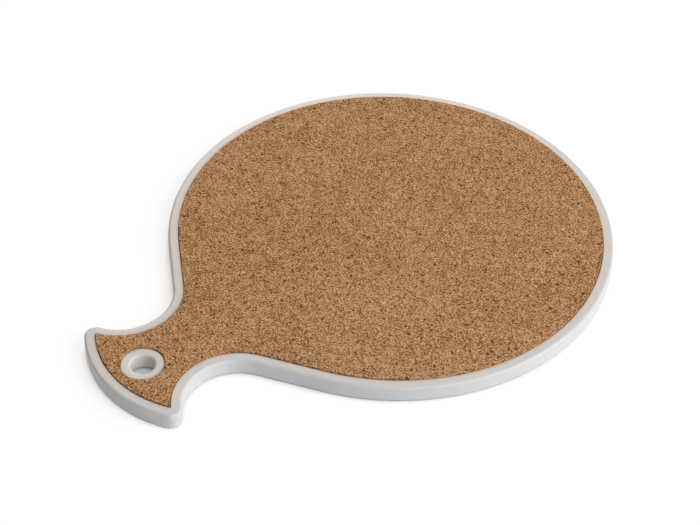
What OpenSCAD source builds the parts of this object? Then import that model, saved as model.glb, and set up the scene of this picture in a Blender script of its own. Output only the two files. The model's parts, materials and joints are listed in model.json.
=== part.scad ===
// Cork trivet with a flared handle, lying on its pads, handle towards -Y.
// Zero is the middle of the footprint, on the table.

/* [Board] */
// Diameter of the round board
disc_d = 200; // [150:1:280]
// Straight length between the round board and the handle's hollow curve
shoulder = 28; // [12:1:45]
// Width of the handle at its narrowest place
neck_w = 37; // [30:1:56]
// Radius of the hollow curve on each side of the handle
neck_r = 22; // [15:1:32]
// Length from the handle's narrowest place to its end
tail_reach = 35.6; // [32:0.2:44]
// Radius of the curve that ends the handle
tail_r = 53; // [46:1:90]
// Radius of the two tips of the handle
tip_r = 4.8; // [3:0.1:7]

/* [Tray] */
// Height of the tray
tray_h = 7.5; // [6.5:0.1:12]
// Width of the rim round the cork
rim_w = 4.6; // [3:0.1:6]
// Thickness of the floor under the cork
floor_t = 3; // [2:0.1:4]
// Rounding of the rim's outer top edge
rim_edge_r = 1.2; // [0.6:0.1:1.6]
// Rounding of the tray's bottom edge
base_edge_r = 0.8; // [0.4:0.1:1.2]

/* [Hanging eye] */
// Diameter of the hole
eye_bore_d = 10; // [6:0.5:12]
// Diameter of the boss that stands round the hole
eye_boss_d = 18.2; // [15:0.1:20]
// Length from the hole's centre to the handle's end
eye_inset = 17.9; // [16:0.1:22]
// Rounding of the hole's top edge
eye_lip_r = 1.2; // [0.6:0.1:1.4]
// Rounding of the hole's bottom edge
eye_base_r = 0.8; // [0.4:0.1:1.2]
// Rounding of the boss's outer top edge
eye_boss_edge_r = 0.4; // [0.2:0.1:0.8]

/* [Cork] */
// Thickness of the cork mat
cork_t = 5; // [3:0.1:6]
// Clearance of the cork to the rim and to the boss
cork_gap = 0.15; // [0.1:0.05:0.4]
// Thickness of the adhesive film under the cork
film_t = 0.3; // [0.1:0.05:0.5]
// Distance that the film's edge stays inside the cork's edge
film_margin = 1; // [0.5:0.1:3]

/* [Pads] */
// Diameter of each pad under the tray
pad_d = 12; // [8:0.5:14]
// Thickness of a pad
pad_t = 1.2; // [1:0.1:1.6]
// Height that a pad stands out of the tray's underside
pad_proud = 0.6; // [0.4:0.1:0.8]
// Clearance of a pad to the wall of its pocket
pad_gap = 0.2; // [0.1:0.05:0.4]
// Rounding of a pad's lower edge
pad_edge_r = 0.3; // [0.1:0.05:0.4]
// Distance from the board's edge to the centre of a pad
pad_inset = 22; // [16:1:40]

/* [Hidden] */
$fn = 128;

// Overrun of every cut past the face that it leaves through
over = 1;
// Lap of the plate's stretches, so that no two of them meet on one line
seam = 0.01;

// Steps that draw each curve of the tray's edge
disc_steps = 54;
neck_steps = 18;
tip_steps = 8;
tail_steps = 8;
edge_steps = 4;

// The plan is drawn with the disc's centre at zero and the handle along +X
disc_r = disc_d / 2;
disc_to_neck = disc_r + neck_r;
neck_c_y = neck_w / 2 + neck_r;
neck_c = [sqrt(pow(disc_to_neck, 2) + pow(shoulder, 2) - pow(neck_c_y, 2)), neck_c_y];
tail_end = neck_c.x + tail_reach;
tail_c = [tail_end - tail_r, 0];

function angle_of(v) = atan2(v.y, v.x);

// Turn from +X to the normal of the straight shoulder
shoulder_a = angle_of(neck_c) + acos(disc_to_neck / norm(neck_c));
shoulder_n = [cos(shoulder_a), sin(shoulder_a)];
shoulder_run = [sin(shoulder_a), -cos(shoulder_a)];

// A tip's curve touches the hollow curve from outside and the end's curve from inside
tip_span = tail_c - neck_c;
tip_dir = tip_span / norm(tip_span);
tip_along = (pow(neck_r + tip_r, 2) - pow(tail_r - tip_r, 2) + pow(norm(tip_span), 2)) / (2 * norm(tip_span));
tip_across = sqrt(pow(neck_r + tip_r, 2) - pow(tip_along, 2));
tip_c = neck_c + tip_along * tip_dir + tip_across * [-tip_dir.y, tip_dir.x];
tip_from_neck = tip_c - neck_c;
tip_from_tail = tip_c - tail_c;
tail_a = angle_of(tip_from_tail);

// Hanging eye
eye_c = [tail_end - eye_inset, 0];
eye_bore_r = eye_bore_d / 2;
eye_boss_r = eye_boss_d / 2;

// Heights above the table
tray_z = pad_proud;
film_z = tray_z + floor_t;
cork_z = film_z + film_t;

// Plan of the recess, the cork and the film, as distances inside the tray's outline
cork_in = rim_w + cork_gap;
film_in = cork_in + film_margin;

// Pads
pad_r = pad_d / 2;
pad_pocket = pad_t - pad_proud;
pad_ring_r = disc_r - pad_inset;
pad_a = 60;
pad_far_c = [-pad_ring_r, 0];
pad_left_c = pad_ring_r * [cos(pad_a), sin(pad_a)];
pad_right_c = pad_ring_r * [cos(pad_a), -sin(pad_a)];
pad_handle_c = [neck_c.x, 0];
pad_places = [pad_far_c, pad_left_c, pad_right_c, pad_handle_c];

// Turns the handle towards -Y and puts the middle of the footprint over zero
module footprint_centred() {
    translate([0, (tail_end - disc_r) / 2, 0]) rotate([0, 0, -90]) children();
}

module both_sides() {
    children();
    mirror([0, 1, 0]) children();
}

function mirrored(p) = [p.x, -p.y];

// Area between the disc and the middle of the tail's curve, before the hollow curves are cut out
module handle_area(inset) {
    shoulder_start = (disc_r - inset - seam) * shoulder_n;
    shoulder_end = shoulder_start + shoulder * shoulder_run;
    polygon([shoulder_start, shoulder_end, neck_c, tip_c, tail_c,
             mirrored(tip_c), mirrored(neck_c), mirrored(shoulder_end), mirrored(shoulder_start)]);
}

// Area between the two tips that the tail's curve trims
module tail_area() {
    reach = tail_c + tail_r * tip_from_tail / norm(tip_from_tail);
    polygon([[0, 0], tip_c, reach, [tail_end + over, reach.y],
             [tail_end + over, -reach.y], mirrored(reach), mirrored(tip_c)]);
}

// Plate with the board's outline, drawn smaller by inset all the way round
module plate(inset, thickness) {
    difference() {
        union() {
            cylinder(r = disc_r - inset, h = thickness);
            linear_extrude(thickness) handle_area(inset);
            intersection() {
                translate([tail_c.x, tail_c.y, 0]) cylinder(r = tail_r - inset - seam, h = thickness);
                linear_extrude(thickness) tail_area();
            }
        }
        both_sides() translate([neck_c.x, neck_c.y, -over])
            cylinder(r = neck_r + inset + 2 * seam, h = thickness + 2 * over);
    }
    if (tip_r > inset) both_sides() translate([tip_c.x, tip_c.y, 0])
        cylinder(r = tip_r - inset, h = thickness);
}

// What a rounding takes off a corner that lies at zero and whose sides run along -X and -Y
module corner_waste(r) {
    difference() {
        translate([-r, -r]) square(r + over);
        translate([-r, -r]) circle(r = r);
    }
}

function arc(centre, r, from, to, steps) =
    [for (i = [0 : steps]) let (a = from + (to - from) * i / steps) centre + r * [cos(a), sin(a)]];

// Half of the board's outline on the +Y side, drawn smaller by inset, from the far edge to the handle's end
function half_outline(inset) =
    let (tip = arc(tip_c, tip_r - inset, angle_of(-tip_from_neck), tail_a, tip_steps),
         tail = arc(tail_c, tail_r - inset, tail_a, 0, tail_steps))
    concat(arc([0, 0], disc_r - inset, 180, shoulder_a, disc_steps),
           arc(neck_c, neck_r + inset, shoulder_a + 180, angle_of(tip_from_neck) + 360, neck_steps),
           [for (i = [1 : tip_steps]) tip[i]],
           [for (i = [1 : tail_steps]) tail[i]]);

// Closed outline: the half, then its mirror image back to the start
function outline(inset) =
    let (half = half_outline(inset))
    concat(half, [for (i = [len(half) - 2 : -1 : 1]) mirrored(half[i])]);

// Section of the outer wall as [distance inside the outline, height], from the underside up round both edges
wall_section = concat(
    arc([base_edge_r, base_edge_r], base_edge_r, 270, 180, edge_steps),
    arc([rim_edge_r, tray_h - rim_edge_r], rim_edge_r, 180, 90, edge_steps));

// Flat end of the block, in bands from one side to the other, for the ring that starts at point number first
function cap(count, first, faces_up) =
    let (half = count / 2)
    [for (i = [0 : half - 1])
        let (band = concat([i, i + 1], i == half - 1 ? [] : [count - i - 1], i == 0 ? [] : [count - i]),
             last = len(band) - 1)
        [for (k = [0 : last]) first + band[faces_up ? k : last - k]]];

// Solid block with the board's outline and both edges rounded: the wall's section carried round the outline
module rounded_board() {
    rings = [for (p = wall_section) [for (q = outline(p.x)) [q.x, q.y, p.y]]];
    count = len(rings[0]);
    sides = [for (ring = [0 : len(rings) - 2], i = [0 : count - 1])
        let (a = ring * count + i, b = ring * count + (i + 1) % count)
        each [[a, b, a + count], [b, b + count, a + count]]];
    polyhedron([for (ring = rings) each ring],
               concat(cap(count, 0, false), sides, cap(count, (len(rings) - 1) * count, true)));
}

// Floor and rim, with the recess for the cork
module shell() {
    difference() {
        rounded_board();
        translate([0, 0, floor_t]) plate(rim_w, tray_h);
    }
}

// The hole with its rounded top edge and its rounded bottom edge
module eye_cut() {
    translate([eye_c.x, eye_c.y, 0]) rotate_extrude() {
        translate([0, -over]) square([eye_bore_r, tray_h + 2 * over]);
        translate([eye_bore_r, tray_h]) mirror([1, 0]) corner_waste(eye_lip_r);
        translate([eye_bore_r, 0]) mirror([1, 0]) mirror([0, 1]) corner_waste(eye_base_r);
    }
}

// The boss round the hole stands on the floor
module eye_boss() {
    translate([eye_c.x, eye_c.y, 0]) rotate_extrude() difference() {
        translate([0, floor_t / 2]) square([eye_boss_r, tray_h - floor_t / 2]);
        translate([eye_boss_r, tray_h]) corner_waste(eye_boss_edge_r);
    }
}

module tray() {
    color("#e9e7e5") footprint_centred() translate([0, 0, tray_z]) difference() {
        union() {
            shell();
            eye_boss();
        }
        eye_cut();
        for (place = pad_places)
            translate([place.x, place.y, -over]) cylinder(r = pad_r + pad_gap, h = pad_pocket + over);
    }
}

// A flat sheet that lies in the recess and goes round the boss
module recess_sheet(inset, thickness) {
    difference() {
        plate(inset, thickness);
        translate([eye_c.x, eye_c.y, -over])
            cylinder(r = eye_boss_r + inset - rim_w, h = thickness + 2 * over);
    }
}

module cork_mat() {
    color("#b0885e") footprint_centred() translate([0, 0, cork_z]) recess_sheet(cork_in, cork_t);
}

module bond_film() {
    color("#dccf9f") footprint_centred() translate([0, 0, film_z]) recess_sheet(film_in, film_t);
}

module pad(place) {
    color("#bdbdba") footprint_centred() translate([place.x, place.y, 0])
        rotate_extrude() difference() {
            square([pad_r, pad_t]);
            translate([pad_r, 0]) mirror([0, 1]) corner_waste(pad_edge_r);
        }
}

tray();
cork_mat();
bond_film();
pad(pad_far_c);  // pad_far
pad(pad_left_c);  // pad_left
pad(pad_right_c);  // pad_right
pad(pad_handle_c);  // pad_handle
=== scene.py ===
"""Cork trivet with a flared handle: its tray and cork in fine shape, and a finish on every piece.

Lengths are in metres. The handle points towards -Y, +Z is up and the table is at zero.
"""

import json
import logging
import math
from collections.abc import Callable
from dataclasses import dataclass
from enum import Enum

import bmesh
import bpy
from mathutils import Matrix, Vector


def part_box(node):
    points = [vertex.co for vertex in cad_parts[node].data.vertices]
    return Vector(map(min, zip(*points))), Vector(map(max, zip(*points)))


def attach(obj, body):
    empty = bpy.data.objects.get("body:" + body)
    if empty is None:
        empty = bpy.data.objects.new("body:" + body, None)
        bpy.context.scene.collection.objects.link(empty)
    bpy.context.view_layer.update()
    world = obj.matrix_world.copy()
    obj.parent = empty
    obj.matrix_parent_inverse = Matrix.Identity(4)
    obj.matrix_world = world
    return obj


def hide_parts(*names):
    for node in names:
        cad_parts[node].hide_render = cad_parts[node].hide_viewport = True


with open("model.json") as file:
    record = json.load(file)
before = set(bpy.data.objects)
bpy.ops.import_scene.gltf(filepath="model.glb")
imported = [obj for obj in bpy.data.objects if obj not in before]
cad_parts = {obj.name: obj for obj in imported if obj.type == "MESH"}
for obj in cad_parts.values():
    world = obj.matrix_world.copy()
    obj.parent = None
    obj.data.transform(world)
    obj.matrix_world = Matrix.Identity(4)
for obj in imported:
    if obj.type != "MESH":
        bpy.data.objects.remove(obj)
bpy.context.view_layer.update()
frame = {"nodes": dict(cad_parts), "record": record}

MM = 0.001
BODY = "root"
SMOOTH_ANGLE = math.radians(32)
# Places nearer to each other than this are one place, so their vertices are merged
MERGE = 0.002 * MM
# A vertex nearer than this to a stated place is the one that is meant
REACH = 0.01 * MM

WHITE = (1.0, 1.0, 1.0, 1.0)
# Middle of what a noise or a random colour gives
MIDDLE = 0.5

log = logging.getLogger("trivet")


# Small tools for colours, nodes and modelling


def linear(hex_colour: str) -> tuple[float, float, float, float]:
    """Turns an sRGB hex colour into linear values.

    Args:
        hex_colour: Six hex digits after a hash sign.

    Returns:
        Red, green, blue and an alpha of 1, as a socket takes them.
    """
    values = [int(hex_colour[i:i + 2], 16) / 255 for i in (1, 3, 5)]
    turned = [v / 12.92 if v <= 0.04045 else ((v + 0.055) / 1.055) ** 2.4 for v in values]
    return (*turned, 1.0)


def per_size(size_mm: float) -> float:
    """Gives the scale at which one cell of a pattern on Object coordinates is size_mm wide."""
    return 1 / (size_mm * MM)


def add_node(tree: bpy.types.NodeTree, kind: str, inputs: dict[str | int, object] | None = None,
             stops: tuple[tuple[float, str], ...] = (), **settings: object) -> bpy.types.Node:
    """Adds one node with its settings and links.

    Args:
        tree: The node tree that takes the node.
        kind: The node's type name.
        inputs: A value or an output socket for each named or numbered input.
        stops: Place and hex colour of each stop, from low to high, where the node is a ramp.
        **settings: Properties of the node itself.

    Returns:
        The new node.
    """
    node = tree.nodes.new(kind)
    for name, value in settings.items():
        setattr(node, name, value)
    for name, value in (inputs or {}).items():
        if isinstance(value, bpy.types.NodeSocket):
            tree.links.new(value, node.inputs[name])
        else:
            node.inputs[name].default_value = value
    if stops:
        elements = node.color_ramp.elements
        while len(elements) < len(stops):
            elements.new(1.0)
        for element, (position, colour) in zip(elements, stops):
            element.position = position
            element.color = linear(colour)
    return node


def seen_rays(tree: bpy.types.NodeTree) -> bpy.types.NodeSocket:
    """Finds the rays that the eye follows, straight or by way of a glossy face.

    Args:
        tree: The nodes of a material or of the world.

    Returns:
        1 for such a ray and 0 for any other.
    """
    path = add_node(tree, "ShaderNodeLightPath")
    seen = add_node(tree, "ShaderNodeMath",
                    {0: path.outputs["Is Camera Ray"], 1: path.outputs["Is Glossy Ray"]},
                    operation="MAXIMUM")
    return seen.outputs[0]


def new_material(name: str) -> tuple[bpy.types.Material, bpy.types.NodeTree]:
    """Makes an empty node material.

    Args:
        name: Name of the material.

    Returns:
        The material and its node tree.
    """
    material = bpy.data.materials.new(name)
    material.use_nodes = True
    material.node_tree.nodes.clear()
    return material, material.node_tree


def deselect() -> None:
    """Leaves edit mode with nothing selected."""
    if bpy.context.mode != "OBJECT":
        bpy.ops.object.mode_set(mode="OBJECT")
    bpy.ops.object.select_all(action="DESELECT")


def work_on(piece: bpy.types.Object, mode: str = "EDIT") -> None:
    """Makes one piece active and selected.

    Args:
        piece: The piece to work on.
        mode: The mode to leave it in.
    """
    deselect()
    piece.select_set(True)
    bpy.context.view_layer.objects.active = piece
    bpy.ops.object.mode_set(mode=mode)


def settle(name: str, scale: tuple[float, float, float] = (1, 1, 1)) -> bpy.types.Object:
    """Names the primitive that was just added, stretches it and moves its place into its mesh.

    Args:
        name: Name of the piece.
        scale: How far it is stretched along its own axes.

    Returns:
        The piece, at the origin, unturned and unscaled.
    """
    piece = bpy.context.active_object
    piece.name = name
    piece.data.name = name
    piece.scale = scale
    bpy.ops.object.transform_apply(location=True, rotation=True, scale=True)
    return piece


class MeshPart(Enum):
    """The parts of a mesh that can be selected, with the names that Blender gives their lists."""

    VERT = "verts"
    EDGE = "edges"
    FACE = "faces"


def choose(piece: bpy.types.Object, part: MeshPart, test: Callable[..., bool]) -> None:
    """Selects the parts of a mesh that pass a test, and nothing else.

    Args:
        piece: The piece in edit mode.
        part: Which parts are tested.
        test: Says of one of them whether it is selected.
    """
    bpy.ops.mesh.select_mode(type=part.name)
    bpy.ops.mesh.select_all(action="DESELECT")
    mesh = bmesh.from_edit_mesh(piece.data)
    for element in getattr(mesh, part.value):
        if test(element):
            element.select_set(True)
    mesh.select_flush_mode()
    bmesh.update_edit_mesh(piece.data)


def near(a: Vector, b: Vector) -> bool:
    """Says whether two points are at the same place."""
    return (a - b).length < REACH


def open_at(z: float) -> Callable[[bmesh.types.BMEdge], bool]:
    """Gives a test for open edges that lie at one height."""
    return lambda edge: edge.is_boundary and all(abs(v.co.z - z) < REACH for v in edge.verts)


def apply_modifier(piece: bpy.types.Object, kind: str, **settings: object) -> None:
    """Adds one modifier to a piece and applies it.

    Args:
        piece: The piece.
        kind: The modifier's type.
        **settings: Its properties.
    """
    work_on(piece, "OBJECT")
    modifier = piece.modifiers.new(kind.lower(), kind)
    for name, value in settings.items():
        setattr(modifier, name, value)
    bpy.ops.object.modifier_apply(modifier=modifier.name)


def face_outwards(piece: bpy.types.Object) -> None:
    """Merges doubled vertices and turns every face outwards.

    Args:
        piece: The piece, which is left in object mode.
    """
    work_on(piece)
    bpy.ops.mesh.select_all(action="SELECT")
    bpy.ops.mesh.remove_doubles(threshold=MERGE)
    bpy.ops.mesh.normals_make_consistent(inside=False)
    deselect()


def smooth(piece: bpy.types.Object) -> None:
    """Shades a piece smooth, with its real edges kept sharp.

    Args:
        piece: The piece.
    """
    work_on(piece, "OBJECT")
    bpy.ops.object.shade_smooth_by_angle(angle=SMOOTH_ANGLE)
    deselect()


def join(pieces: list[bpy.types.Object]) -> bpy.types.Object:
    """Joins pieces into the first of them.

    Args:
        pieces: The pieces.

    Returns:
        The first piece, which holds them all.
    """
    work_on(pieces[0], "OBJECT")
    for piece in pieces:
        piece.select_set(True)
    bpy.ops.object.join()
    return pieces[0]


def hand_over(piece: bpy.types.Object, node: str, material: bpy.types.Material) -> None:
    """Dresses a finished piece and puts it in the place of its CAD node.

    Args:
        piece: The finished piece.
        node: The CAD node that it stands for.
        material: Its material.
    """
    piece.data.materials.clear()
    piece.data.materials.append(material)
    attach(piece, BODY)
    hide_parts(node)
    log.info("%s: %d faces", piece.name, len(piece.data.polygons))


def dress_node(node: str, material: bpy.types.Material) -> None:
    """Gives a CAD node, whose shape stays, its material.

    Args:
        node: Name of the node.
        material: Its material.
    """
    mesh = frame["nodes"][node].data
    mesh.materials.clear()
    mesh.materials.append(material)
    log.info("%s: kept, with %s", node, material.name)


# The plan that the tray and the cork share


@dataclass(frozen=True)
class Arc:
    """A stretch of the outline on a circle."""

    centre: Vector
    turn: float
    steps: int

    def sweep(self) -> None:
        """Spins the selected profile along the stretch. The operator counts its angle clockwise."""
        bpy.ops.mesh.spin(steps=self.steps, angle=-self.turn, center=self.centre, axis=(0, 0, 1))


@dataclass(frozen=True)
class Straight:
    """A straight stretch of the outline."""

    run: Vector

    def sweep(self) -> None:
        """Extrudes the selected profile along the stretch."""
        bpy.ops.mesh.extrude_region_move(TRANSFORM_OT_translate={"value": self.run})


@dataclass(frozen=True)
class Plan:
    """The board's outline: a disc, hollow curves into the handle, two tips and a bulging end."""

    disc_radius: float
    disc_centre: Vector
    end_y: float
    shoulder_length: float = 28 * MM
    neck_width: float = 37 * MM
    neck_radius: float = 22 * MM
    tip_radius: float = 4.8 * MM
    tail_radius: float = 53 * MM
    disc_steps: int = 110
    neck_steps: int = 44
    tip_steps: int = 22
    tail_steps: int = 18

    @classmethod
    def of_tray(cls) -> "Plan":
        """Takes the disc and the handle's end from the box of the tray.

        Returns:
            The plan.
        """
        low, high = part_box("tray")
        radius = (high.x - low.x) / 2
        return cls(disc_radius=radius, disc_centre=Vector((0, high.y - radius, 0)), end_y=low.y)

    @property
    def neck_centre(self) -> Vector:
        """Centre of the hollow curve on the +X side."""
        across = self.neck_width / 2 + self.neck_radius
        radii = self.disc_radius + self.neck_radius
        along = math.sqrt(radii ** 2 + self.shoulder_length ** 2 - across ** 2)
        return self.disc_centre + Vector((across, -along, 0))

    @property
    def tail_centre(self) -> Vector:
        """Centre of the curve that ends the handle."""
        return Vector((0, self.end_y + self.tail_radius, 0))

    @property
    def tip_centre(self) -> Vector:
        """Centre of the tip's curve, which touches the hollow curve and the end's curve."""
        span = self.tail_centre - self.neck_centre
        to_neck = self.neck_radius + self.tip_radius
        to_tail = self.tail_radius - self.tip_radius
        along = (to_neck ** 2 - to_tail ** 2 + span.length_squared) / (2 * span.length)
        across = math.sqrt(to_neck ** 2 - along ** 2)
        direction = span.normalized()
        return self.neck_centre + along * direction + across * Vector((-direction.y, direction.x, 0))

    def half(self) -> list[Arc | Straight]:
        """Lists the stretches on the +X side.

        Returns:
            The stretches, clockwise from the disc's far edge.
        """
        to_neck = self.neck_centre - self.disc_centre
        lean = math.acos((self.disc_radius + self.neck_radius) / to_neck.length)
        shoulder_angle = math.atan2(to_neck.y, to_neck.x) + lean
        run = Vector((math.sin(shoulder_angle), -math.cos(shoulder_angle), 0)) * self.shoulder_length
        neck_to_tip = self.tip_centre - self.neck_centre
        tip_angle = math.atan2(neck_to_tip.y, neck_to_tip.x)
        tail_to_tip = self.tip_centre - self.tail_centre
        tail_angle = math.atan2(tail_to_tip.y, tail_to_tip.x)
        return [
            Arc(self.disc_centre, shoulder_angle - math.pi / 2, self.disc_steps),
            Straight(run),
            Arc(self.neck_centre, (tip_angle - shoulder_angle - math.pi) % math.tau, self.neck_steps),
            Arc(self.tip_centre, -((tip_angle + math.pi - tail_angle) % math.tau), self.tip_steps),
            Arc(self.tail_centre, -math.pi / 2 - tail_angle, self.tail_steps),
        ]

    def sweep(self, piece: bpy.types.Object) -> None:
        """Carries the selected profile round the whole outline.

        Args:
            piece: The piece in edit mode, with the profile selected at the disc's far edge.
        """
        for stretch in self.half():
            stretch.sweep()
        apply_modifier(piece, "MIRROR", use_axis=(True, False, False), merge_threshold=MERGE)
        work_on(piece)
        bpy.ops.mesh.select_all(action="SELECT")
        bpy.ops.mesh.remove_doubles(threshold=MERGE)


# Finishes


@dataclass(frozen=True)
class MouldedPlastic:
    """White ABS from a satin mould: soft broad highlights and a trace of orange peel, in a warm white."""

    name: str = "satin_moulded_abs"
    light: str = "#e8e5de"
    dark: str = "#e3e0d9"
    light_from: float = 0.7
    dark_to: float = 0.3
    flow_mm: float = 60
    flow_detail: float = 3.0
    peel_mm: float = 1.4
    peel_detail: float = 2.0
    peel_height_mm: float = 0.006
    peel_strength: float = 0.6
    polished: float = 0.34
    matt: float = 0.44
    ior: float = 1.53

    def build(self) -> bpy.types.Material:
        """Makes the material.

        Returns:
            The material.
        """
        material, tree = new_material(self.name)
        place = add_node(tree, "ShaderNodeTexCoord").outputs["Object"]
        flow = add_node(tree, "ShaderNodeTexNoise",
                        {"Vector": place, "Scale": per_size(self.flow_mm), "Detail": self.flow_detail})
        tone = add_node(tree, "ShaderNodeValToRGB", {"Fac": flow.outputs["Fac"]},
                        stops=((self.dark_to, self.dark), (self.light_from, self.light)))
        peel = add_node(tree, "ShaderNodeTexNoise",
                        {"Vector": place, "Scale": per_size(self.peel_mm), "Detail": self.peel_detail})
        polish = add_node(tree, "ShaderNodeMapRange",
                          {"Value": peel.outputs["Fac"], "To Min": self.polished, "To Max": self.matt})
        bump = add_node(tree, "ShaderNodeBump",
                        {"Height": peel.outputs["Fac"], "Strength": self.peel_strength,
                         "Distance": self.peel_height_mm * MM})
        shader = add_node(tree, "ShaderNodeBsdfPrincipled",
                          {"Base Color": tone.outputs["Color"], "Roughness": polish.outputs["Result"],
                           "IOR": self.ior, "Normal": bump.outputs["Normal"]})
        add_node(tree, "ShaderNodeOutputMaterial", {"Surface": shader.outputs[0]})
        return material


@dataclass(frozen=True)
class AgglomeratedCork:
    """Pressed and sanded cork granules: a fine tan and brown crumb with dark bark specks, quite dull."""

    name: str = "sanded_agglomerated_cork"
    crumb_mm: float = 0.72
    crumb_detail: float = 1.5
    crumb_fineness: float = 0.55
    granule_mm: float = 2.2
    granule_share: float = 0.08
    drift_mm: float = 30
    drift_detail: float = 2.0
    drift_share: float = 0.06
    warp_mm: float = 0.5
    warp_detail: float = 1.0
    relief_mm: float = 0.1
    relief_strength: float = 0.8
    roughness: float = 0.9
    specular: float = 0.15
    crumbs: tuple[tuple[float, str], ...] = (
        (0.25, "#4b2a11"), (0.375, "#89582e"), (0.48, "#bb8a59"), (0.575, "#d9aa7a"), (0.705, "#f0cc9d"))
    bark: str = "#5c3409"
    bark_cover: float = 0.88
    speck_mm: float = 2.2
    bare_cell_share: float = 0.4
    speck_reach_share: float = 0.35
    speck_fade: tuple[float, float] = (-0.02, 0.07)

    def build(self) -> bpy.types.Material:
        """Makes the material.

        Returns:
            The material.
        """
        material, tree = new_material(self.name)
        place = add_node(tree, "ShaderNodeTexCoord").outputs["Object"]
        warped = self.warp(tree, place)
        crumb = add_node(tree, "ShaderNodeTexNoise",
                         {"Vector": warped, "Scale": per_size(self.crumb_mm),
                          "Detail": self.crumb_detail, "Roughness": self.crumb_fineness})
        tone = crumb.outputs["Fac"]
        granules = add_node(tree, "ShaderNodeTexVoronoi",
                            {"Vector": warped, "Scale": per_size(self.granule_mm)})
        granule = add_node(tree, "ShaderNodeSeparateColor", {"Color": granules.outputs["Color"]})
        drift = add_node(tree, "ShaderNodeTexNoise",
                         {"Vector": place, "Scale": per_size(self.drift_mm), "Detail": self.drift_detail})
        for pattern, share in ((granule.outputs["Red"], self.granule_share),
                               (drift.outputs["Fac"], self.drift_share)):
            centred = add_node(tree, "ShaderNodeMath", {0: pattern, 1: MIDDLE}, operation="SUBTRACT")
            tone = add_node(tree, "ShaderNodeMath", {0: centred.outputs[0], 1: share, 2: tone},
                            operation="MULTIPLY_ADD").outputs[0]
        ground = add_node(tree, "ShaderNodeValToRGB", {"Fac": tone}, stops=self.crumbs)
        specks = self.specks(tree, warped)
        colour = add_node(tree, "ShaderNodeMix",
                          {"Factor": specks, "A": ground.outputs["Color"], "B": linear(self.bark)},
                          data_type="RGBA")
        height = add_node(tree, "ShaderNodeMath", {0: tone, 1: specks}, operation="SUBTRACT")
        bump = add_node(tree, "ShaderNodeBump",
                        {"Height": height.outputs[0], "Strength": self.relief_strength,
                         "Distance": self.relief_mm * MM})
        shader = add_node(tree, "ShaderNodeBsdfPrincipled",
                          {"Base Color": colour.outputs["Result"], "Roughness": self.roughness,
                           "Specular IOR Level": self.specular, "Normal": bump.outputs["Normal"]})
        add_node(tree, "ShaderNodeOutputMaterial", {"Surface": shader.outputs[0]})
        return material

    def warp(self, tree: bpy.types.NodeTree, place: bpy.types.NodeSocket) -> bpy.types.NodeSocket:
        """Bends the coordinates a little, so that no grain is round or straight.

        Args:
            tree: The material's nodes.
            place: The plain coordinates.

        Returns:
            The bent coordinates.
        """
        wander = add_node(tree, "ShaderNodeTexNoise",
                          {"Vector": place, "Scale": per_size(self.crumb_mm), "Detail": self.warp_detail})
        offset = add_node(tree, "ShaderNodeVectorMath",
                          {0: wander.outputs["Color"], 1: (MIDDLE,) * 3}, operation="SUBTRACT")
        bent = add_node(tree, "ShaderNodeVectorMath",
                        {0: offset.outputs[0], 1: (self.warp_mm * MM,) * 3, 2: place},
                        operation="MULTIPLY_ADD")
        return bent.outputs[0]

    def specks(self, tree: bpy.types.NodeTree, place: bpy.types.NodeSocket) -> bpy.types.NodeSocket:
        """Scatters bark specks of mixed size, with none in some cells.

        Args:
            tree: The material's nodes.
            place: The coordinates of the pattern.

        Returns:
            How much bark covers each spot.
        """
        cells = add_node(tree, "ShaderNodeTexVoronoi",
                         {"Vector": place, "Scale": per_size(self.speck_mm)})
        chance = add_node(tree, "ShaderNodeSeparateColor", {"Color": cells.outputs["Color"]})
        reach = add_node(tree, "ShaderNodeMapRange",
                         {"Value": chance.outputs["Green"], "From Min": self.bare_cell_share,
                          "To Max": self.speck_reach_share})
        inside = add_node(tree, "ShaderNodeMath",
                          {0: reach.outputs["Result"], 1: cells.outputs["Distance"]},
                          operation="SUBTRACT")
        outer, inner = self.speck_fade
        cover = add_node(tree, "ShaderNodeMapRange",
                         {"Value": inside.outputs[0], "From Min": outer, "From Max": inner,
                          "To Max": self.bark_cover})
        return cover.outputs["Result"]


@dataclass(frozen=True)
class AdhesiveFilm:
    """Double-sided tape: amber film with a faint mottle of trapped air."""

    name: str = "double_sided_adhesive_film"
    clear: str = "#e2d6a8"
    cloudy: str = "#d3c594"
    clear_from: float = 0.6
    cloudy_to: float = 0.4
    mottle_mm: float = 3
    mottle_detail: float = 4.0
    roughness: float = 0.3

    def build(self) -> bpy.types.Material:
        """Makes the material.

        Returns:
            The material.
        """
        material, tree = new_material(self.name)
        place = add_node(tree, "ShaderNodeTexCoord").outputs["Object"]
        mottle = add_node(tree, "ShaderNodeTexNoise",
                          {"Vector": place, "Scale": per_size(self.mottle_mm),
                           "Detail": self.mottle_detail})
        tone = add_node(tree, "ShaderNodeValToRGB", {"Fac": mottle.outputs["Fac"]},
                        stops=((self.cloudy_to, self.cloudy), (self.clear_from, self.clear)))
        shader = add_node(tree, "ShaderNodeBsdfPrincipled",
                          {"Base Color": tone.outputs["Color"], "Roughness": self.roughness})
        add_node(tree, "ShaderNodeOutputMaterial", {"Surface": shader.outputs[0]})
        return material


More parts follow.
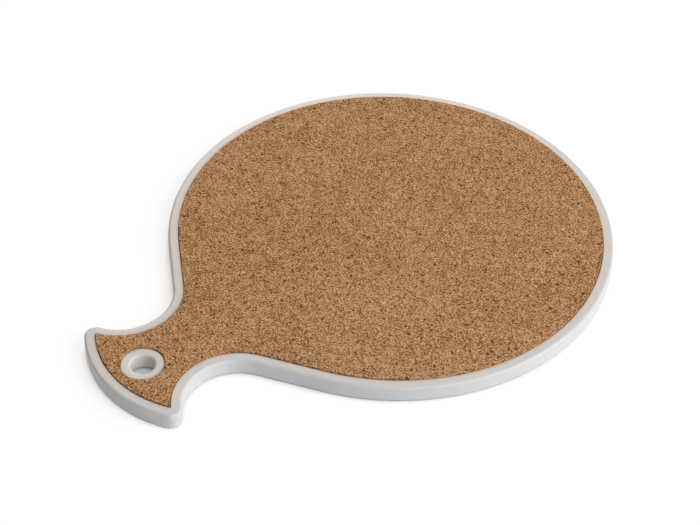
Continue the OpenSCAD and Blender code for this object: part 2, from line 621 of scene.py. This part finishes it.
@dataclass(frozen=True)
class SiliconeRubber:
    """Moulded grey silicone: dull and slightly dusty, with a fine grain that grips the table."""

    name: str = "moulded_silicone_rubber"
    clean: str = "#bdbdba"
    dusty: str = "#c9c7c2"
    clean_to: float = 0.4
    dusty_from: float = 0.65
    dust_mm: float = 5
    dust_detail: float = 4.0
    # A real pad's grain is finer: it is drawn this coarse so that it shows
    grain_mm: float = 0.3
    grain_detail: float = 2.0
    grain_height_mm: float = 0.02
    grain_strength: float = 0.5
    roughness: float = 0.75

    def build(self) -> bpy.types.Material:
        """Makes the material.

        Returns:
            The material.
        """
        material, tree = new_material(self.name)
        place = add_node(tree, "ShaderNodeTexCoord").outputs["Object"]
        dust = add_node(tree, "ShaderNodeTexNoise",
                        {"Vector": place, "Scale": per_size(self.dust_mm), "Detail": self.dust_detail})
        tone = add_node(tree, "ShaderNodeValToRGB", {"Fac": dust.outputs["Fac"]},
                        stops=((self.clean_to, self.clean), (self.dusty_from, self.dusty)))
        grain = add_node(tree, "ShaderNodeTexNoise",
                         {"Vector": place, "Scale": per_size(self.grain_mm), "Detail": self.grain_detail})
        bump = add_node(tree, "ShaderNodeBump",
                        {"Height": grain.outputs["Fac"], "Strength": self.grain_strength,
                         "Distance": self.grain_height_mm * MM})
        shader = add_node(tree, "ShaderNodeBsdfPrincipled",
                          {"Base Color": tone.outputs["Color"], "Roughness": self.roughness,
                           "Normal": bump.outputs["Normal"]})
        add_node(tree, "ShaderNodeOutputMaterial", {"Surface": shader.outputs[0]})
        return material


@dataclass(frozen=True)
class StudioPaper:
    """White studio paper, burnt out where it lies open and grey in corners that little light reaches."""

    name: str = "white_studio_paper"
    colour: str = "#eff1f7"
    # Share of its light that the eye sees on open paper, where the glow does the rest, and in corners
    open_share: float = 0.36
    corner_share: float = 0.9
    corner_reach: float = 9 * MM
    corner_low: float = 0.15
    corner_high: float = 0.75
    # The glow rises to pure white between these distances, so that the far paper meets the background
    glow: float = 0.80
    near_reach: float = 0.35
    far_reach: float = 1.2

    def build(self) -> bpy.types.Material:
        """Makes the material, which lights the object as plain paper whatever the eye sees of it.

        Returns:
            The material.
        """
        material, tree = new_material(self.name)
        seen = seen_rays(tree)
        openness = self.openness(tree)
        share = add_node(tree, "ShaderNodeMapRange",
                         {"Value": openness, "To Min": self.corner_share, "To Max": self.open_share})
        colour = add_node(tree, "ShaderNodeMix",
                          {"Factor": seen, "A": linear(self.colour), "B": share.outputs["Result"]},
                          data_type="RGBA")
        paper = add_node(tree, "ShaderNodeBsdfDiffuse", {"Color": colour.outputs["Result"]})
        burnt = add_node(tree, "ShaderNodeMath", {0: seen, 1: openness}, operation="MULTIPLY")
        level = add_node(tree, "ShaderNodeMath", {0: burnt.outputs[0], 1: self.glow_level(tree)},
                         operation="MULTIPLY")
        white = add_node(tree, "ShaderNodeEmission", {"Color": WHITE, "Strength": level.outputs[0]})
        both = add_node(tree, "ShaderNodeAddShader", {0: paper.outputs[0], 1: white.outputs[0]})
        add_node(tree, "ShaderNodeOutputMaterial", {"Surface": both.outputs[0]})
        return material

    def openness(self, tree: bpy.types.NodeTree) -> bpy.types.NodeSocket:
        """Gives 1 on open paper and 0 in a closed-in corner, such as the foot of the hanging hole.

        Args:
            tree: The material's nodes.

        Returns:
            The openness.
        """
        corner = add_node(tree, "ShaderNodeAmbientOcclusion", {"Distance": self.corner_reach})
        openness = add_node(tree, "ShaderNodeMapRange",
                            {"Value": corner.outputs["AO"], "From Min": self.corner_low,
                             "From Max": self.corner_high}, interpolation_type="SMOOTHSTEP")
        return openness.outputs["Result"]

    def glow_level(self, tree: bpy.types.NodeTree) -> bpy.types.NodeSocket:
        """Gives the glow, which rises with the distance from the trivet.

        Args:
            tree: The material's nodes.

        Returns:
            The strength of the glow.
        """
        place = add_node(tree, "ShaderNodeTexCoord").outputs["Object"]
        distance = add_node(tree, "ShaderNodeVectorMath", {0: place}, operation="LENGTH")
        level = add_node(tree, "ShaderNodeMapRange",
                         {"Value": distance.outputs["Value"], "From Min": self.near_reach,
                          "From Max": self.far_reach, "To Min": self.glow})
        return level.outputs["Result"]


# Pieces


@dataclass(frozen=True)
class Section:
    """Upright section of a wall that stands on a floor, drawn along Y with its outer face at wall_y."""

    wall_y: float
    floor_y: float
    low: float
    high: float
    floor_z: float
    top_wall_radius: float
    top_floor_radius: float
    low_wall_radius: float
    steps: int = 6

    def build(self, name: str) -> bpy.types.Object:
        """Draws the section as a line of edges, open where the floor meets it.

        Args:
            name: Name of the piece.

        Returns:
            The piece, in edit mode and with the whole line selected.
        """
        deselect()
        middle = Vector((0, (self.wall_y + self.floor_y) / 2, (self.low + self.high) / 2))
        size = (self.high - self.low, abs(self.wall_y - self.floor_y), 1)
        bpy.ops.mesh.primitive_plane_add(size=1, location=middle, rotation=(0, math.pi / 2, 0))
        piece = settle(name, size)
        work_on(piece)
        self.round_corner(piece, self.wall_y, self.high, self.top_wall_radius)
        self.round_corner(piece, self.wall_y, self.low, self.low_wall_radius)
        self.round_corner(piece, self.floor_y, self.high, self.top_floor_radius)
        # The floor's side is cut in its middle, and the cut is moved to the height of the floor
        choose(piece, MeshPart.EDGE, lambda e: all(abs(v.co.y - self.floor_y) < MERGE for v in e.verts))
        bpy.ops.mesh.subdivide(number_cuts=1)
        start = (self.low + self.high - self.top_floor_radius) / 2
        choose(piece, MeshPart.VERT, lambda v: near(v.co, Vector((0, self.floor_y, start))))
        bpy.ops.transform.translate(value=(0, 0, self.floor_z - start))
        # Only the line stays, without the stretch that the floor takes up
        choose(piece, MeshPart.FACE, lambda f: True)
        bpy.ops.mesh.delete(type="ONLY_FACE")
        choose(piece, MeshPart.EDGE, lambda e: all(
            abs(v.co.y - self.floor_y) < MERGE and v.co.z < self.floor_z + MERGE for v in e.verts))
        bpy.ops.mesh.delete(type="EDGE")
        bpy.ops.mesh.select_all(action="SELECT")
        return piece

    def round_corner(self, piece: bpy.types.Object, y: float, z: float, radius: float) -> None:
        """Rounds one corner of the section.

        Args:
            piece: The section in edit mode.
            y: Place of the corner.
            z: Height of the corner.
            radius: Radius of the rounding.
        """
        choose(piece, MeshPart.VERT, lambda v: near(v.co, Vector((0, y, z))))
        bpy.ops.mesh.bevel(offset=radius, segments=self.steps, affect="VERTICES")


@dataclass
class Pads:
    """The non-slip pads that sit in the tray's pockets."""

    nodes: tuple[str, ...] = ("pad_far", "pad_left", "pad_right", "pad_handle")

    def build(self) -> None:
        """Dresses the pads, whose shapes stay."""
        rubber = SiliconeRubber().build()
        for node in self.nodes:
            dress_node(node, rubber)


@dataclass
class Tray:
    """The moulded tray: a floor, a rounded rim all round, the hanging eye and four pockets for the pads."""

    plan: Plan
    eye_centre: Vector
    pads: Pads
    low: float
    high: float
    rim_width: float = 4.6 * MM
    floor_thickness: float = 3 * MM
    rim_edge_radius: float = 1.2 * MM
    rim_lip_radius: float = 0.35 * MM
    base_edge_radius: float = 0.8 * MM
    eye_bore_radius: float = 5 * MM
    eye_boss_radius: float = 9.1 * MM
    eye_lip_radius: float = 1.2 * MM
    eye_edge_radius: float = 0.4 * MM
    eye_steps: int = 96
    pocket_gap: float = 0.2 * MM
    pocket_steps: int = 48

    @classmethod
    def in_frame(cls, plan: Plan, eye_centre: Vector, pads: Pads) -> "Tray":
        """Takes the tray's height from its box."""
        low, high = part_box("tray")
        return cls(plan, eye_centre, pads, low.z, high.z)

    @property
    def floor_z(self) -> float:
        """Height of the floor's top."""
        return self.low + self.floor_thickness

    def rim(self) -> bpy.types.Object:
        """Carries the rim's section round the outline.

        Returns:
            The rim, open where the floor and the underside meet it.
        """
        edge_y = self.plan.disc_centre.y + self.plan.disc_radius
        section = Section(edge_y, edge_y - self.rim_width, self.low, self.high, self.floor_z,
                          self.rim_edge_radius, self.rim_lip_radius, self.base_edge_radius)
        piece = section.build("tray_shell")
        self.plan.sweep(piece)
        return piece

    def eye(self) -> bpy.types.Object:
        """Turns the hanging eye.

        Returns:
            The eye, open where the floor and the underside meet it.
        """
        bore_y = self.eye_centre.y + self.eye_bore_radius
        boss_y = self.eye_centre.y + self.eye_boss_radius
        section = Section(bore_y, boss_y, self.low, self.high, self.floor_z,
                          self.eye_lip_radius, self.eye_edge_radius, self.base_edge_radius)
        piece = section.build("eye")
        bpy.ops.mesh.spin(steps=self.eye_steps, angle=math.tau, center=self.eye_centre, axis=(0, 0, 1))
        bpy.ops.mesh.select_all(action="SELECT")
        bpy.ops.mesh.remove_doubles(threshold=MERGE)
        return piece

    def pocket(self, pad: str) -> bpy.types.Object:
        """Sinks the pocket of one pad into the underside.

        Args:
            pad: The CAD node that sits in it.

        Returns:
            The pocket's wall and roof.
        """
        pad_low, pad_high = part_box(pad)
        centre = (pad_low + pad_high) / 2
        radius = (pad_high.x - pad_low.x) / 2 + self.pocket_gap
        deselect()
        bpy.ops.mesh.primitive_circle_add(vertices=self.pocket_steps, radius=radius,
                                          location=(centre.x, centre.y, self.low))
        piece = settle(f"pocket_{pad}")
        work_on(piece)
        bpy.ops.mesh.select_all(action="SELECT")
        bpy.ops.mesh.extrude_region_move(
            TRANSFORM_OT_translate={"value": (0, 0, pad_high.z - self.low)})
        bpy.ops.mesh.edge_face_add()
        return piece

    def shell(self) -> bpy.types.Object:
        """Joins the rim, the eye and the pockets, and fills the floor and the underside between them.

        Returns:
            The closed shell.
        """
        piece = join([self.rim(), self.eye(), *[self.pocket(pad) for pad in self.pads.nodes]])
        work_on(piece)
        for z in (self.floor_z, self.low):
            choose(piece, MeshPart.EDGE, open_at(z))
            bpy.ops.mesh.fill(use_beauty=True)
        face_outwards(piece)
        smooth(piece)
        return piece

    def build(self) -> None:
        """Builds and dresses the tray."""
        hand_over(self.shell(), "tray", MouldedPlastic().build())


@dataclass
class CorkMat:
    """The cork sheet that lies in the tray, with stamped edges and a sanded, pitted face."""

    tray: Tray
    low: float
    high: float
    # Left free between the cork and the rim, and round the eye's boss
    gap: float = 0.15 * MM
    eye_steps: int = 96
    cell: float = 1.0 * MM
    # How far the raw sheet and the knife reach past the mat
    margin: float = 3 * MM
    pit_depth: float = 0.16 * MM
    pit_size: float = 1.4 * MM
    # The mat stays this far inside its box, above and below
    skin: float = 0.04 * MM

    @classmethod
    def in_frame(cls, tray: Tray) -> "CorkMat":
        """Takes the mat's height from its box."""
        low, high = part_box("cork_mat")
        return cls(tray, low.z, high.z)

    def knife(self) -> bpy.types.Object:
        """Builds the knife that stamps the sheet, with the outline inside the rim and the eye's hole.

        Returns:
            The knife, which reaches past the sheet's face.
        """
        deselect()
        plan = self.tray.plan
        edge_y = plan.disc_centre.y + plan.disc_radius - self.tray.rim_width - self.gap
        start = self.low + self.skin
        bpy.ops.mesh.primitive_plane_add(size=1, location=(0, edge_y, start))
        piece = settle("cork_knife")
        work_on(piece)
        # The plan carries one vertex round, which starts at the disc's far edge
        bpy.ops.mesh.select_all(action="SELECT")
        bpy.ops.mesh.merge(type="CENTER")
        bpy.ops.mesh.select_mode(type="VERT")
        bpy.ops.mesh.select_all(action="SELECT")
        plan.sweep(piece)
        deselect()
        eye_centre = self.tray.eye_centre
        eye_radius = self.tray.eye_boss_radius + self.gap
        bpy.ops.mesh.primitive_circle_add(vertices=self.eye_steps, radius=eye_radius,
                                          location=(eye_centre.x, eye_centre.y, start))
        piece = join([piece, settle("cork_eye")])
        work_on(piece)
        bpy.ops.mesh.select_all(action="SELECT")
        bpy.ops.mesh.fill(use_beauty=True)
        bpy.ops.mesh.select_all(action="SELECT")
        bpy.ops.mesh.extrude_region_move(
            TRANSFORM_OT_translate={"value": (0, 0, self.high + self.margin - start)})
        face_outwards(piece)
        return piece

    def sheet(self) -> bpy.types.Object:
        """Lays the raw sheet, a little larger than the mat, with its face in fine cells.

        Returns:
            The sheet, which reaches below the mat's foot.
        """
        low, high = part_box("cork_mat")
        size = high - low + Vector((self.margin, self.margin, 0))
        centre = (low + high) / 2
        deselect()
        columns = round(size.x / self.cell)
        rows = round(size.y / self.cell)
        bpy.ops.mesh.primitive_grid_add(x_subdivisions=columns, y_subdivisions=rows, size=1,
                                        location=(centre.x, centre.y, self.high - self.skin))
        piece = settle("cork_sheet", (size.x, size.y, 1))
        work_on(piece)
        choose(piece, MeshPart.EDGE, lambda edge: edge.is_boundary)
        bpy.ops.mesh.extrude_region_move(
            TRANSFORM_OT_translate={"value": (0, 0, self.low - self.margin - self.high)})
        bpy.ops.mesh.edge_face_add()
        face_outwards(piece)
        return piece

    def mat(self) -> bpy.types.Object:
        """Stamps the sheet and sinks sanded-open pits into it, never proud of the sheet.

        Returns:
            The mat.
        """
        piece = self.sheet()
        knife = self.knife()
        apply_modifier(piece, "BOOLEAN", operation="INTERSECT", solver="EXACT", object=knife)
        bpy.data.objects.remove(knife)
        pits = bpy.data.textures.new("pits", "VORONOI")
        pits.noise_scale = self.pit_size
        apply_modifier(piece, "DISPLACE", texture=pits, texture_coords="LOCAL",
                       mid_level=1.0, strength=self.pit_depth)
        face_outwards(piece)
        smooth(piece)
        return piece

    def build(self) -> None:
        """Builds and dresses the mat."""
        hand_over(self.mat(), "cork_mat", AgglomeratedCork().build())


@dataclass
class BondFilm:
    """The adhesive film between the cork and the tray's floor."""

    node: str = "bond_film"

    def build(self) -> None:
        """Dresses the film, whose shape stays."""
        dress_node(self.node, AdhesiveFilm().build())


# Studio


@dataclass(frozen=True)
class Softbox:
    """A square soft lamp, aimed at the trivet from a bearing that starts at the camera's right."""

    bearing: float
    elevation: float
    level: float
    size: float
    colour: str
    distance: float = 2.5

    @property
    def watts(self) -> float:
        """Power at which a white face turned to the lamp looks level times white."""
        return self.level * (math.pi * self.distance) ** 2


class Lamp(Enum):
    """The lamps of the studio."""

    SIDE = Softbox(bearing=18, elevation=32, level=0.94, size=2.6, colour="#f4f7ff")
    BEHIND = Softbox(bearing=-95, elevation=26, level=0.36, size=1.2, colour="#ffdfc6")
    FRONT = Softbox(bearing=65, elevation=36, level=0.17, size=1.2, colour="#f4f7ff")


@dataclass(frozen=True)
class Studio:
    """Floor, light and the photograph's camera."""

    azimuth: float = math.radians(48.45)
    elevation: float = math.radians(42.65)
    distance: float = 0.7316
    roll: float = math.radians(1.626)
    lens_mm: float = 84.37
    aim: Vector = Vector((0.93 * MM, 2.15 * MM, 0.6 * MM))
    world_level: float = 0.13
    floor_size: float = 12

    def back(self) -> Vector:
        """Direction from the aim to the camera."""
        level = Vector((math.sin(self.azimuth), -math.cos(self.azimuth), 0)) * math.cos(self.elevation)
        return level + Vector((0, 0, math.sin(self.elevation)))

    def add_camera(self) -> None:
        """Sets the camera at the photograph's place."""
        data = bpy.data.cameras.new("photo_camera")
        data.lens = self.lens_mm
        camera = bpy.data.objects.new("photo_camera", data)
        bpy.context.scene.collection.objects.link(camera)
        turn = (-self.back()).to_track_quat("-Z", "Y").to_matrix().to_4x4()
        place = Matrix.Translation(self.aim + self.back() * self.distance)
        camera.matrix_world = place @ turn @ Matrix.Rotation(self.roll, 4, "Z")
        bpy.context.scene.camera = camera

    def add_floor(self) -> None:
        """Lays the floor under the trivet."""
        deselect()
        bpy.ops.mesh.primitive_plane_add(size=self.floor_size)
        floor = settle("studio_floor")
        floor.data.materials.append(StudioPaper().build())

    def add_lamps(self) -> None:
        """Hangs the soft lamps, turned to the trivet."""
        for lamp in Lamp:
            box = lamp.value
            data = bpy.data.lights.new(lamp.name.lower(), "AREA")
            data.size = box.size
            data.energy = box.watts
            data.color = linear(box.colour)[:3]
            light = bpy.data.objects.new(lamp.name.lower(), data)
            bpy.context.scene.collection.objects.link(light)
            bearing = self.azimuth - math.radians(box.bearing)
            elevation = math.radians(box.elevation)
            level = Vector((math.cos(bearing), math.sin(bearing), 0)) * math.cos(elevation)
            light.location = (level + Vector((0, 0, math.sin(elevation)))) * box.distance
            light.rotation_mode = "QUATERNION"
            light.rotation_quaternion = (-light.location).to_track_quat("-Z", "Y")

    def add_world(self) -> None:
        """Lights the scene evenly from all round, with a white background."""
        world = bpy.data.worlds.new("studio")
        bpy.context.scene.world = world
        world.use_nodes = True
        tree = world.node_tree
        tree.nodes.clear()
        soft = add_node(tree, "ShaderNodeBackground",
                        {"Color": WHITE, "Strength": self.world_level})
        white = add_node(tree, "ShaderNodeBackground", {"Color": WHITE, "Strength": 1.0})
        mixed = add_node(tree, "ShaderNodeMixShader",
                         {0: seen_rays(tree), 1: soft.outputs[0], 2: white.outputs[0]})
        add_node(tree, "ShaderNodeOutputWorld", {"Surface": mixed.outputs[0]})

    def build(self) -> None:
        """Sets up the whole studio."""
        bpy.context.scene.view_settings.view_transform = "Standard"
        self.add_camera()
        self.add_floor()
        self.add_lamps()
        self.add_world()


def eye_place() -> Vector:
    """Finds the hanging eye's centre in the record's mounts.

    Returns:
        The centre, at the height of the table.
    """
    mounts = {mount["name"]: mount for mount in frame["record"]["mounts"]}
    x, y, _ = mounts["hanging_hole"]["pos_m"]
    return Vector((x, y, 0))


def main() -> None:
    """Builds the studio and then the trivet, one sub-assembly after the other."""
    logging.basicConfig(level=logging.INFO)
    pads = Pads()
    tray = Tray.in_frame(Plan.of_tray(), eye_place(), pads)
    cork_mat = CorkMat.in_frame(tray)
    for assembly in (Studio(), tray, cork_mat, BondFilm(), pads):
        assembly.build()
        log.info("%s is built", type(assembly).__name__)


if __name__ == "__main__":
    main()
